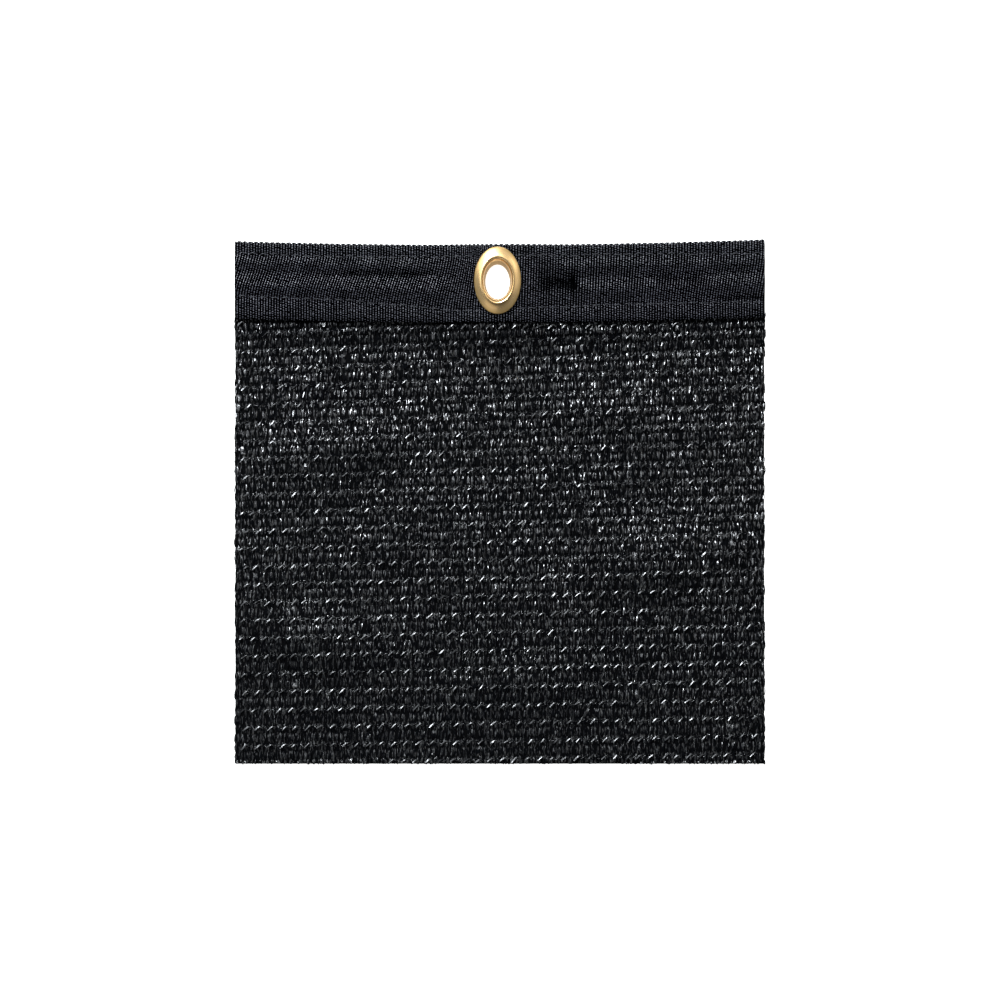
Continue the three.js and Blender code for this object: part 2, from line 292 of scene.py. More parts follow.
def eased(line, x):
    """A line's value along X, eased from place to place so that no corner shows."""
    places, values = np.array(line["x"]) * MM, np.array(line["by"]) * MM
    i = np.clip(np.searchsorted(places, x) - 1, 0, len(places) - 2)
    share = smooth((x - places[i]) / (places[i + 1] - places[i]))
    return values[i] + (values[i + 1] - values[i]) * share


def top_edge(x):
    """The sagging line of the bound edge."""
    s = sizes()
    share = x / (s.width / 2)
    middle = s.drop / 2 - s.edge_dip - s.edge_lean
    return middle + s.edge_dip * share ** 2 + s.edge_lean * share


def rim_distance(x, y):
    """1 at the flange's rim and 2 at twice its size."""
    return np.hypot((x - GROMMET_X) / FLANGE_X, (y - GROMMET_Y) / FLANGE_Y)


def binding_thickness():
    """From the back of the binding to its face: two layers of webbing and the cloth."""
    return 2 * sizes().webbing + CLOTH_THICKNESS + 2 * FIT_GAP


def lift(x, y):
    """How far the stack at the grommet holds the layers off the floor."""
    return STACK_LIFT * smooth((LIFT_ENDS - rim_distance(x, y)) / (LIFT_ENDS - LIFT_FULL))


def swell(x, y):
    """Height of the low swells at a place."""
    height = 0 * x
    for mound in SWELLS:
        turn = math.radians(mound["turn"])
        (left, low), (half_x, half_y) = mound["at"], mound["half"]
        dx, dy = x - left * MM, y - low * MM
        u = (dx * math.cos(turn) + dy * math.sin(turn)) / (half_x * MM)
        v = (dy * math.cos(turn) - dx * math.sin(turn)) / (half_y * MM)
        height = height + mound["height"] * MM * smooth(1 - np.hypot(u, v))
    return height


def cloth_underside(x, y):
    """Height of the cloth's underside, which climbs over the back of the binding."""
    s = sizes()
    outside = top_edge(x) - y - s.face_width - RAMP_TOP
    raised = (s.webbing + FIT_GAP) * smooth(1 - outside / CLOTH_RAMP)
    return lift(x, y) + swell(x, y) + raised


def faded(along, ends):
    """1 along a line, and 0 at both of its ends."""
    return smooth(along * ends) * smooth((1 - along) * ends)


def bands(lines, x, below, ends):
    """How far these puffs or creases stand out: in full along each of their lines, and
    not at all at its ends and beside it."""
    height = 0 * x
    for line in lines:
        (left, right), (first, last) = line["x"], line["top"]
        along = (x / MM - left) / (right - left)
        beside = np.abs(below - (first + (last - first) * along) * MM) / (line["half"] * MM)
        height = height + line["by"] * MM * (faded(along, ends) * smooth(1 - beside))
    return height


def puff(x, below):
    """How far the binding's face puffs out, pressed flat again at the grommet."""
    rim = rim_distance(x, top_edge(x) - below)
    free = smooth((rim - PRESS_FULL) / (PRESS_ENDS - PRESS_FULL))
    return bands(PUFFS, x, below, PUFF_ENDS) * free


def creases(x, below):
    """How far the creases and the upright tuck are pressed in."""
    upper, lower = TUCK["top"]
    along = (below / MM - upper) / (lower - upper)
    tuck = faded(along, TUCK_ENDS) * smooth(1 - np.abs(x / MM - TUCK["x"]) / TUCK["half"])
    return bands(CREASES, x, below, CREASE_ENDS) + TUCK["by"] * MM * tuck


def row_height(level, x):
    """Y of a row of the knit that is at this level at mid-width."""
    s = sizes()
    up = (level + s.drop / 2) / s.drop
    return level + (RISE_AT_CUT + (RISE_AT_TOP - RISE_AT_CUT) * up) * x / s.width


def cloth_top(x):
    """The line to which the knit's threads run, a little way under the binding."""
    return top_edge(x) - sizes().face_width + KNIT_UNDER


def row_numbers(step):
    """Numbers of the knit's rows, this far apart, from the cut end to the binding."""
    s = sizes()
    first = int((-s.drop / 2 - RISE_AT_CUT - VALLEY_LEVEL) / step) - 1
    last = int((s.drop / 2 - s.face_width + RISE_AT_TOP - VALLEY_LEVEL) / step) + 1
    return np.arange(first, last)[:, None]


def new_piece(name, points, faces, finish, shade_smooth=True):
    """A mesh object from points and one or more arrays of faces, riding on the part."""
    groups = [np.asarray(f, dtype=np.int32) for f in faces if len(f)]
    corners = np.concatenate([g.ravel() for g in groups])
    counts = np.concatenate([np.full(len(g), g.shape[1]) for g in groups])
    starts = np.concatenate([[0], np.cumsum(counts)[:-1]]).astype(np.int32)
    mesh = bpy.data.meshes.new(name)
    mesh.vertices.add(len(points))
    mesh.vertices.foreach_set("co", np.asarray(points, dtype=np.float32).ravel())
    mesh.loops.add(len(corners))
    mesh.loops.foreach_set("vertex_index", corners)
    mesh.polygons.add(len(counts))
    mesh.polygons.foreach_set("loop_start", starts)
    mesh.update(calc_edges=True)
    mesh.polygons.foreach_set("use_smooth", np.full(len(counts), shade_smooth))
    mesh.materials.append(material_of(finish))
    piece = bpy.data.objects.new(name, mesh)
    bpy.context.scene.collection.objects.link(piece)
    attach(piece, "root")
    return piece


def slab(lower, upper, inside):
    """A closed solid between two grids of points, made of the cells that have a point
    inside. Seen from outside the upper grid, columns run right and rows run up."""
    rows, columns = inside.shape
    number = np.arange(rows * columns).reshape(rows, columns)
    keep = inside[:-1, :-1] | inside[1:, :-1] | inside[:-1, 1:] | inside[1:, 1:]
    a, b = number[:-1, :-1], number[:-1, 1:]
    c, d = number[1:, 1:], number[1:, :-1]
    layer = rows * columns
    top = np.stack([a, b, c, d], -1)[keep] + layer
    base = np.stack([a, d, c, b], -1)[keep]
    padded = np.pad(keep, 1)
    walls = []
    sides = [
        (padded[:-2, 1:-1], a, b), (padded[1:-1, 2:], b, c),
        (padded[2:, 1:-1], c, d), (padded[1:-1, :-2], d, a),
    ]
    for neighbour, start, end in sides:
        edge = keep & ~neighbour
        walls.append(np.stack([start, end, end + layer, start + layer], -1)[edge])
    points = np.concatenate([lower.reshape(-1, 3), upper.reshape(-1, 3)])
    faces = np.concatenate([top, base, *walls])
    used, renumbered = np.unique(faces, return_inverse=True)
    return points[used], renumbered.reshape(-1, 4), used % layer


def outside_hole(x, y):
    """Moves points in the punched hole out to its edge, and says which were outside."""
    distance = rim_distance(x, y)
    outside = distance >= PUNCH_SHARE
    out = np.where(outside, 1, PUNCH_SHARE / np.maximum(distance, 1e-6))
    return GROMMET_X + (x - GROMMET_X) * out, GROMMET_Y + (y - GROMMET_Y) * out, outside


def sweep(centres, twist, width, height, section):
    """Closed solids along many paths at once. centres is strands by rings by 3, and
    section is its corners' shares of the width and height, counter-clockwise."""
    strands, rings, _ = centres.shape
    corners = section.shape[-2]
    across, up = strand_axes(centres, twist)
    across = across * np.asarray(width)[..., None]
    up = up * np.asarray(height)[..., None]
    points = (
        centres[:, :, None]
        + across[:, :, None] * section[..., 0:1]
        + up[:, :, None] * section[..., 1:2])
    number = np.arange(strands * rings * corners).reshape(strands, rings, corners)
    near, far = number[:, :-1], number[:, 1:]
    sides = np.stack(
        [near, far, np.roll(far, -1, -1), np.roll(near, -1, -1)], -1).reshape(-1, 4)
    ends = np.concatenate([number[:, 0], number[:, -1, ::-1]])
    return points.reshape(-1, 3), [sides, ends]


def strand_axes(centres, twist):
    """Across and up directions along each path, turned about it by a twist."""
    along = np.gradient(centres, axis=1)
    along /= np.linalg.norm(along, axis=-1, keepdims=True)
    across = np.cross(along, [0, 0, 1])
    across /= np.linalg.norm(across, axis=-1, keepdims=True)
    up = np.cross(across, along)
    c, s = np.cos(twist)[..., None], np.sin(twist)[..., None]
    return across * c + up * s, up * c - across * s


def round_section(corners):
    """Evenly spaced points round a circle of radius 1."""
    angle = 2 * math.pi * np.arange(corners) / corners
    return np.stack([np.cos(angle), np.sin(angle)], -1)


def add_node(tree, kind, settings=None, links=None):
    """Adds a shader node with its settings and links, and gives its outputs."""
    node = tree.nodes.new("ShaderNode" + kind)
    for key, value in (settings or {}).items():
        if isinstance(key, str) and hasattr(node, key):
            setattr(node, key, value)
        else:
            node.inputs[key].default_value = value
    for key, output in (links or {}).items():
        tree.links.new(output, node.inputs[key])
    return node.outputs


def finish_shader(tree, settings, links, shader="Principled BSDF"):
    """Sets a shader's inputs that are the same everywhere, and links the others."""
    inputs = tree.nodes[shader].inputs
    for key, value in settings.items():
        inputs[key].default_value = value
    for key, output in links.items():
        tree.links.new(output, inputs[key])


def dyed(tone, shares=1.0):
    """A colour for a socket, its red, green and blue each times a share."""
    return (*np.multiply(tuple(tone), shares), 1)


def polyethylene_tape(tree):
    """Black slit film, crumpled in the knitting: hard glints where a facet is smooth and
    next to nothing where it is crushed."""
    place = add_node(tree, "TexCoord")["Object"]
    # Facets of the crumpled film are 0.6 to 0.7 mm across, and drawn out along the tapes,
    # which lie along Y. The film's own grain is too fine to show and is left out.
    drawn_out = add_node(tree, "Mapping", {"Scale": (1, 0.35, 1)}, {"Vector": place})["Vector"]
    patches = add_node(
        tree, "TexNoise", {"Scale": 1 / (0.7 * MM), "Detail": 1.0}, {"Vector": drawn_out})
    smoothness = add_node(
        tree, "MapRange", {"From Min": 0.455, "From Max": 0.59}, {"Value": patches["Fac"]})
    gloss = add_node(
        tree, "MapRange", {"To Min": 0.42, "To Max": 0.22}, {"Value": smoothness["Result"]})
    crumple = add_node(
        tree, "TexNoise", {"Scale": 1 / (0.6 * MM), "Detail": 1.0}, {"Vector": drawn_out})
    bump = add_node(
        tree, "Bump", {"Strength": 0.9, "Distance": 0.08 * MM}, {"Height": crumple["Fac"]})
    finish_shader(
        tree, {"Base Color": dyed(colours().tape), "IOR": 1.54},
        {"Roughness": gloss["Result"], "Normal": bump["Normal"],
         "Specular IOR Level": smoothness["Result"]})


def polyethylene_yarn(tree):
    """Black monofilament of the chains' bars, rounder than the tape: a clean line of
    light along each."""
    place = add_node(tree, "TexCoord")["Object"]
    # It is scuffed here and there, over about 2.4 mm, the length of a bar
    patches = add_node(
        tree, "TexNoise", {"Scale": 1 / (2.4 * MM), "Detail": 1.0}, {"Vector": place})
    smoothness = add_node(
        tree, "MapRange", {"From Min": 0.3, "From Max": 0.55, "To Min": 0.3},
        {"Value": patches["Fac"]})
    finish_shader(
        tree, {"Base Color": dyed(colours().yarn), "IOR": 1.54, "Roughness": 0.29},
        {"Specular IOR Level": smoothness["Result"]})


def shaded_film(tree):
    """The film deep between the tapes, crushed dull, with next to no gloss; its colour is the
    tapes' black darkened to 0.4 as painted shade."""
    place = add_node(tree, "TexCoord")["Object"]
    # Patches about two tapes wide
    patches = add_node(tree, "TexNoise", {"Scale": 1 / (1.7 * MM)}, {"Vector": place})
    gloss = add_node(tree, "MapRange", {"To Min": 0.5, "To Max": 0.9}, {"Value": patches["Fac"]})
    # Painted shade: the tapes' colour darkened to 0.4 for the film deep between them
    finish_shader(
        tree, {"Base Color": dyed(colours().tape, 0.4), "Specular IOR Level": 0.03},
        {"Roughness": gloss["Result"]})


def polyester_webbing(tree):
    """Bluish black woven polyester: satin ribs whose colour is painted nearly black in the grooves
    between them as painted shade, and painted lighter on their crowns as highlights broken into
    short dashes where the fine warp ends cross it."""
    # X counts the ribs, 0.86 mm each, and Y the dashes along a rib, so the scales below are
    # per rib and per dash. The real warp ends are finer than the 0.75 mm dashes, which are
    # as fine as the render can show.
    weave = add_node(tree, "Attribute", {"attribute_name": "weave"})["Vector"]
    split = add_node(tree, "SeparateXYZ", links={0: weave})
    # crown is 0 in the grooves between ribs and 1 on their tops; the painted shade follows it
    crown = add_node(tree, "Math", {"operation": "PINGPONG", 1: 0.5}, {0: split["X"]})
    rib = add_node(tree, "Math", {"operation": "FLOOR"}, {0: split["X"]})
    # From rib to rib the dashes step on by a third, and wander over a rib or two
    wander = add_node(tree, "TexNoise", {"Scale": 0.7, "Detail": 1.0}, {"Vector": weave})
    slipped = add_node(
        tree, "Math", {"operation": "MULTIPLY_ADD", 1: 1.6}, {0: wander["Fac"], 2: split["Y"]})
    step = add_node(
        tree, "Math", {"operation": "MULTIPLY_ADD", 1: 0.31}, {0: rib[0], 2: slipped[0]})
    turn = add_node(tree, "Math", {"operation": "MULTIPLY", 1: 2 * math.pi}, {0: step[0]})
    wave = add_node(tree, "Math", {"operation": "SINE"}, {0: turn[0]})
    # They are stronger in patches about six ribs wide, and fuzzy to half a rib
    patches = add_node(tree, "TexNoise", {"Scale": 0.16}, {"Vector": weave})
    depth = add_node(
        tree, "MapRange", {"From Min": 0.35, "From Max": 0.65, "To Min": 0.3, "To Max": 0.95},
        {"Value": patches["Fac"]})
    dashes = add_node(
        tree, "Math", {"operation": "MULTIPLY_ADD", 2: 0.5}, {0: wave[0], 1: depth["Result"]})
    fuzz = add_node(tree, "TexNoise", {"Scale": 1.9}, {"Vector": weave})
    fuzzy_dashes = add_node(
        tree, "Math", {"operation": "MULTIPLY_ADD", 1: 1.1}, {0: fuzz["Fac"], 2: dashes[0]})
    height = add_node(tree, "Math", {"operation": "MULTIPLY"}, {0: crown[0], 1: fuzzy_dashes[0]})
    # Z says how deep in a crease it lies, and the colour is darkened there as painted shade
    crease_shaded = add_node(
        tree, "Math", {"operation": "MULTIPLY_ADD", 1: -0.16}, {0: split["Z"], 2: height[0]})
    # The painted light: near 0 in the grooves and creases, near 1 on the dashes along the rib
    # crowns. It also sets the gloss and the bump.
    painted_light = add_node(
        tree, "MapRange", {"From Min": 0.32, "From Max": 0.62, "interpolation_type": "SMOOTHSTEP"},
        {"Value": crease_shaded[0]})
    base = colours().webbing
    # The base colour carries painted shade and painted highlights, from 0.02 to 2.6 times the
    # webbing's own colour
    tint = add_node(
        tree, "Mix", {"data_type": "RGBA", 6: dyed(base, 0.02), 7: dyed(base, 2.6)},
        {0: painted_light["Result"]})
    gleam = add_node(tree, "MapRange", {"To Max": 0.85}, {"Value": painted_light["Result"]})
    bump = add_node(
        tree, "Bump", {"Strength": 0.6, "Distance": 0.15 * MM}, {"Height": painted_light["Result"]})
    finish_shader(
        tree, {"Roughness": 0.45, "IOR": 1.5},
        {"Base Color": tint[2], "Normal": bump["Normal"],
         "Specular IOR Level": gleam["Result"]})


def polyester_thread(tree):
    """Twisted sewing thread, a little lighter than the webbing."""
    place = add_node(tree, "TexCoord")["Object"]
    # A diagonal wave of scale 1 repeats every 0.2 pi along X, the way the thread lies. The
    # real twist is about 0.3 mm long, too fine to show, and is drawn 0.7 mm long.
    twist = add_node(
        tree, "TexWave",
        {"Scale": 0.2 * math.pi / (0.7 * MM), "bands_direction": "DIAGONAL"},
        {"Vector": place})
    bump = add_node(
        tree, "Bump", {"Strength": 0.4, "Distance": 0.05 * MM}, {"Height": twist["Fac"]})
    finish_shader(
        tree, {"Base Color": dyed(colours().thread), "Roughness": 0.38},
        {"Normal": bump["Normal"]})


def polished_brass(tree):
    """Pale stamped brass: a polished flange with clear soft reflections, and a duller inside to
    the barrel, which the polishing wheel doesn't reach, its colour darkened and browned there as
    painted shade."""
    place = add_node(tree, "TexCoord")["Object"]
    # The wheel leaves faint clouds about 3.8 mm across. Its scratches are too fine to show.
    clouds = add_node(
        tree, "TexNoise", {"Scale": 1 / (3.8 * MM), "Detail": 3.0}, {"Vector": place})
    height = add_node(tree, "SeparateXYZ", links={0: place})["Z"]
    # 0 down in the barrel and 1 on the flange: it sets the painted shade in the barrel's colour
    #                                           and the duller gloss there
    polish_and_shade = add_node(
        tree, "MapRange", {"From Min": 5.6 * MM, "From Max": 6.9 * MM}, {"Value": height})
    base = colours().brass
    cloudy = add_node(
        tree, "Mix", {"data_type": "RGBA", 6: dyed(base, (0.92, 0.86, 0.74)), 7: dyed(base)},
        {0: clouds["Fac"]})
    # Below the lip the colour is darkened and browned as painted shade inside the barrel; above it
    # the brass keeps its own clouded colour
    tint = add_node(
        tree, "Mix", {"data_type": "RGBA", 6: dyed(base, (0.4, 0.36, 0.2))},
        {0: polish_and_shade["Result"], 7: cloudy[2]})
    gloss = add_node(
        tree, "MapRange", {"To Min": 0.5, "To Max": 0.27}, {"Value": polish_and_shade["Result"]})
    bump = add_node(
        tree, "Bump", {"Strength": 0.05, "Distance": 0.05 * MM}, {"Height": clouds["Fac"]})
    finish_shader(
        tree, {"Metallic": 1.0},
        {"Base Color": tint[2], "Roughness": gloss["Result"], "Normal": bump["Normal"]})


def white_acrylic(tree):
    """A white acrylic table lit softly from below, so that nothing casts a grey shadow:
    matt, with the faintest mottling, about 25 mm across."""
    place = add_node(tree, "TexCoord")["Object"]
    mottle = add_node(
        tree, "TexNoise", {"Scale": 1 / (25 * MM), "Detail": 4.0}, {"Vector": place})
    base = colours().floor
    tint = add_node(
        tree, "Mix", {"data_type": "RGBA", 6: dyed(base, 0.985), 7: dyed(base)},
        {0: mottle["Fac"]})
    finish_shader(
        tree, {"Roughness": 0.6, "Emission Strength": 1.1},
        {"Base Color": tint[2], "Emission Color": tint[2]})


def material_of(finish):
    """The material that a function finishes, made once and then found by its name."""
    material = bpy.data.materials.get(finish.__name__)
    if material is None:
        material = bpy.data.materials.new(finish.__name__)
        material.use_nodes = True
        finish(material.node_tree)
    return material


def knit_ground():
    """The dense bed of film under the threads, which closes the cloth."""
    s = sizes()
    side, end = s.width / 2 + SPRUNG / 2, s.drop / 2
    x, y = np.meshgrid(
        np.linspace(-side, side, int(s.width / GROUND_CELL) + 2),
        np.linspace(-end, end, int(s.drop / GROUND_CELL) + 2))
    high = top_edge(x) - CLOTH_INSET
    inside = y <= high
    y = np.minimum(y, high)
    x, y, punched = outside_hole(x, y)
    base = cloth_underside(x, y) + GROUND_HEIGHT
    lower = np.stack([x, y, base], -1)
    upper = np.stack([x, y, base + GROUND_THICKNESS], -1)
    points, faces, _ = slab(lower, upper, inside & punched)
    # Its film is the tapes' colour darkened as painted shade
    piece = new_piece("knit_ground", points, [faces], shaded_film)
    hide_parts("shade_cloth")
    return piece


def fullness(x, y):
    """How far the tapes bow up: most just under the binding, where the cloth is gathered,
    and pulled flatter towards the lower left."""
    s = sizes()
    full = FULL_MIDDLE + FULL_UP * y / (s.drop / 2) + FULL_RIGHT * x / (s.width / 2)
    gathered = smooth(1 - (top_edge(x) - s.face_width - y) / CLOTH_RAMP)
    return np.clip(full, *FULL_RANGE) + GATHERED * gathered


def laid_tapes(name, seed, pitch, rings, arch, half_width, fold, side=1, turn=0, turns=1):
    """Tapes laid in from one valley of the knit to the next, each a folded and twisted
    strip that bows up between them. arch and half_width are ranges in mm, and fold is a
    range of its height as a share of the half width. side is 1 on the face and -1 on the
    back. The piece holds every tape, or one in so many turns from number turn on."""
    s = sizes()
    draw = np.random.default_rng(seed)
    step = s.chain_pitch / 2
    level = VALLEY_LEVEL + step * row_numbers(step)
    tapes = int(s.width / pitch)
    half = s.width / 2 + SPRUNG
    x0 = ((np.arange(turn, tapes, turns) + 0.5) / tapes - 0.5) * 2 * half
    scatter = draw.uniform(-TAPE_SCATTER, TAPE_SCATTER, (len(level), len(x0)))
    x0 = x0 + scatter * pitch
    level = level + draw.normal(0, TAPE_WANDER, x0.shape)
    x0, level = x0.ravel(), level.ravel()
    cut = -s.drop / 2 - draw.uniform(-RAGGED_CUT, RAGGED_CUT, x0.shape)
    # Each starts just above one valley and ends tucked under the next row
    low = np.maximum(row_height(level, x0) + TAPE_START, cut)
    high = np.minimum(row_height(level + step, x0) + TAPE_TUCK, cloth_top(x0))
    fits = high - low > SHORTEST_TAPE
    x0, low, high = x0[fits], low[fits], high[fits]
    count = len(x0)
    t = np.linspace(0, 1, rings)[None, :]
    lean = draw.normal(TAPE_LEAN, LEAN_SPREAD, (count, 1))
    bow = draw.normal(0, TAPE_BOW, (count, 1))
    x = x0[:, None] + lean * (t - 0.5) + bow * np.sin(math.pi * t)
    x = x + draw.normal(0, SHAKE_ACROSS, (count, rings))
    y = low[:, None] + (high - low)[:, None] * t
    # It rises steeply to its crest and falls off slowly beyond
    crest = draw.uniform(*CREST_AT, (count, 1))
    fall = (1 - np.maximum(t - crest, 0) / (1 - crest)) ** CREST_FALL
    bump = np.minimum(t / crest, 1) * fall
    bump = bump * draw.uniform(*arch, (count, 1)) * MM * fullness(x, y)
    bump = bump + draw.normal(0, SHAKE_UP, (count, rings)) * np.sin(math.pi * t)
    under = cloth_underside(x, y)
    z = under + GROUND_HEIGHT + side * (TAPE_BASE + bump)
    z = np.maximum(z, under + 2 * FLOOR_GAP)
    twist = draw.normal(TAPE_TWIST, TWIST_SPREAD, (count, 1))
    twist = twist + draw.normal(0, TWIST_SHAKE, (count, rings)) + (side < 0) * math.pi
    width = draw.uniform(*half_width, (count, 1)) * MM
    width = width * np.where(draw.random((count, 1)) < WIDE_SHARE, WIDE_BY, 1)
    # Pinched at both ends, where the chains hold it
    width = width * (PINCH + (1 - PINCH) * np.sin(math.pi * t) ** PINCH_CURVE)
    height = width * draw.uniform(*fold, (count, 1))
    # A flat base and a fold that stands anywhere over it
    section = np.tile([(-1, -0.2), (1, -0.2), (0, 0.8)], (count, 1, 1, 1))
    section[..., 2, 0] = draw.uniform(-0.5, 0.5, (count, 1))
    points, faces = sweep(np.stack([x, y, z], -1), twist, width, height, section)
    # Nothing sticks out past the sides or reaches the floor
    np.clip(points[:, 0], -half - SIDE_REACH, half + SIDE_REACH, out=points[:, 0])
    np.clip(points[:, 2], FLOOR_GAP, None, out=points[:, 2])
    return new_piece(name, points, faces, polyethylene_tape, shade_smooth=False)


def stitch_places(seed):
    """Where the chain stitches are: x, and the height of their row, a little uneven."""
    s = sizes()
    draw = np.random.default_rng(seed)
    count = int(s.width / s.stitch_pitch) + 2
    level = VALLEY_LEVEL - CHAIN_DROP + s.chain_pitch * row_numbers(s.chain_pitch)
    start = draw.uniform(0, 1, (len(level), 1))
    x = (np.arange(count)[None, :] - 1 + start) * s.stitch_pitch - s.width / 2
    x = x + draw.normal(0, STRAY_ALONG, x.shape)
    level = level + draw.normal(0, STRAY_UP, x.shape)
    return x.ravel(), row_height(level, x).ravel()


def chain_underlaps():
    """The short slanting bars of the chain stitches, which lie over the tapes."""
    s = sizes()
    draw = np.random.default_rng(SEED + 5)
    x0, y0 = stitch_places(SEED + 4)
    reach = s.stitch_pitch * BAR_REACH
    edge = top_edge(x0) - s.face_width
    hugs = np.abs(y0 - edge) < HUG
    y0 = np.where(hugs, edge - HUG, y0)
    # Their middles lie on the cloth, clear of the cut end and of its edge under the binding
    fits = np.abs(x0) < s.width / 2 - reach / 2
    fits &= (y0 > -s.drop / 2 + CUT_CLEAR) & (y0 < cloth_top(x0) - TOP_CLEAR)
    x0, y0, hugs = x0[fits, None], y0[fits, None], hugs[fits, None]
    count = len(x0)
    # Each bar climbs to the right until its turn, and from there hooks over and down
    t = np.linspace(-1, BAR_END, 6)[None, :]
    hook = np.maximum(t - BAR_TURN, 0)
    reach = reach * draw.uniform(*BAR_LENGTHS, (count, 1))
    slope = draw.normal(BAR_SLOPE, SLOPE_SPREAD, (count, 1))
    x = x0 + reach * t
    y = y0 + reach * slope * (t - draw.uniform(*BAR_HOOKS, (count, 1)) * hook)
    x = np.clip(x, -s.width / 2, s.width / 2)
    y = np.maximum(y, -s.drop / 2)
    # Above the middle the tapes stand full, half bury the bars and push them askew
    place = y0 / (s.drop / 2) + 0.15 * x0 / (s.width / 2)
    high = smooth((place + 0.3) / 0.4)
    full = np.where(hugs, BURIED_EDGE, BURIED_LOW + (BURIED_HIGH - BURIED_LOW) * high)
    # The fuller the tapes, the deeper a bar lies among them
    top = draw.uniform(0.75, 1.0, (count, 1)) * (1.3 - 0.6 * full) * MM
    z = cloth_underside(x, y) + BAR_HEIGHT + top * (1 - 0.12 * t ** 2)
    # Its upper end lies lower, which turns it to the light
    z = z - draw.normal(BAR_TILT, TILT_SPREAD, (count, 1)) * t
    # Its flat side is turned to the light, less evenly among full tapes
    twist = BAR_FACE + draw.normal(0, 1, (count, 1)) * (0.45 * full - 0.14)
    twist = twist + draw.normal(0, 0.05, t.shape)
    # It thins towards its ends
    radius = s.yarn / 2 * draw.uniform(*BAR_SIZES, (count, 1)) * (1 - 0.3 * t ** 2)
    points, faces = sweep(
        np.stack([x, y, z], -1), twist, radius * BAR_WIDE, radius * BAR_FLAT, round_section(5))
    return new_piece(
        "chain_underlaps", points, faces, polyethylene_yarn, shade_smooth=False)


def chain_loops(name, seed, side, corners):
    """The thin legs of the chain stitches' loops, weaving along each row, two to a
    stitch. Rubbed by the tapes, they glint in patches as those do."""
    s = sizes()
    draw = np.random.default_rng(seed)
    x0, y0 = stitch_places(SEED + 4)
    x0, y0 = np.repeat(x0, 2)[:, None], np.repeat(y0, 2)[:, None]
    count = len(x0)
    t = np.linspace(0, 1, LEG_RINGS)[None, :]
    phase = np.tile([0.0, math.pi], count // 2)[:, None]
    between = np.sin(math.pi * t)
    x = x0 + s.stitch_pitch * t + draw.normal(0, LEG_BEND_X, (count, LEG_RINGS)) * between
    swing = LEG_SWING * np.sin(2 * math.pi * t + phase)
    y = y0 + (row_height(0, x) - row_height(0, x0)) + swing
    y = y + draw.normal(0, LEG_BEND_Y, (count, LEG_RINGS)) * between
    fits = (np.abs(x) < s.width / 2).all(1)
    fits &= (y > -s.drop / 2 + LEG_CLEAR).all(1) & (y < cloth_top(x)).all(1)
    x, y = x[fits], y[fits]
    over = LEG_WEAVE * np.cos(2 * math.pi * t + phase[fits])
    under = cloth_underside(x, y)
    rise = (LEG_HEIGHT + over) * side
    radius = s.yarn * LEG_YARN / 2
    z = np.maximum(under + GROUND_HEIGHT + rise, under + LEG_LOWEST)
    points, faces = sweep(
        np.stack([x, y, z], -1), 0, radius, radius, round_section(corners))
    return new_piece(name, points, faces, polyethylene_tape)


def webbing_rows(x, fold):
    """The rows of points from the binding's lower edge on the face, over the fold and down
    the back, closer together at the seams. Each gives its part, and its distance below the
    top edge or its angle round the fold."""
    s = sizes()
    upper, lower = eased(UPPER_SEAM, x), eased(LOWER_SEAM, x)
    strip = s.face_width - lower - SEAM_HALF
    between = lower - upper - 2 * SEAM_HALF
    face = [s.face_width - share * strip for share in (0, 0.33, 0.67)]
    face += [lower + SEAM_HALF, lower, lower - SEAM_HALF]
    face += [lower - SEAM_HALF - between * i / ROWS_BETWEEN for i in range(1, ROWS_BETWEEN)]
    face += [upper + SEAM_HALF, upper, upper - SEAM_HALF, (upper - SEAM_HALF + fold) / 2]
    turn = [math.pi * (0.5 - i / FOLD_ROWS) for i in range(FOLD_ROWS + 1)]
    back = [fold + 1 * MM, upper, upper + 3 * MM, (upper + lower) / 2, lower,
            lower + 1.2 * MM, s.back_width]
    parts = {"face": face, "fold": turn, "back": back}
    return [(part, value) for part, values in parts.items() for value in values]


def rib_lean(x, below):
    """How far right a rib has moved at this distance below the top edge."""
    upper, lower = eased(UPPER_SEAM, x), eased(LOWER_SEAM, x)
    share = np.clip((lower - below) / (lower - upper), 0, 1)
    return eased(RIB_LEAN, x) * (0.6 * share + 0.4 * smooth(share))


def seam_groove(x, below):
    """How deep the seams pull the webbing in: most under the middle of each stitch, and
    not at all under the flange."""
    stitches = (1 + np.cos(2 * math.pi * x / sizes().stitch)) / 2
    pull = SEAM_DEPTH * (SEAM_EVEN + (1 - SEAM_EVEN) * stitches)
    depth = 0
    for seam in (UPPER_SEAM, LOWER_SEAM):
        beside = (below - eased(seam, x)) / SEAM_REACH
        depth = depth + pull * np.exp(-beside ** 2)
    rim = rim_distance(x, top_edge(x) - below)
    return depth * smooth((rim - 1) / RIM_FREE)


def relief(x, below):
    """How far the binding's face stands out: its puffs, less its creases and grooves."""
    return puff(x, below) - creases(x, below) - seam_groove(x, below)


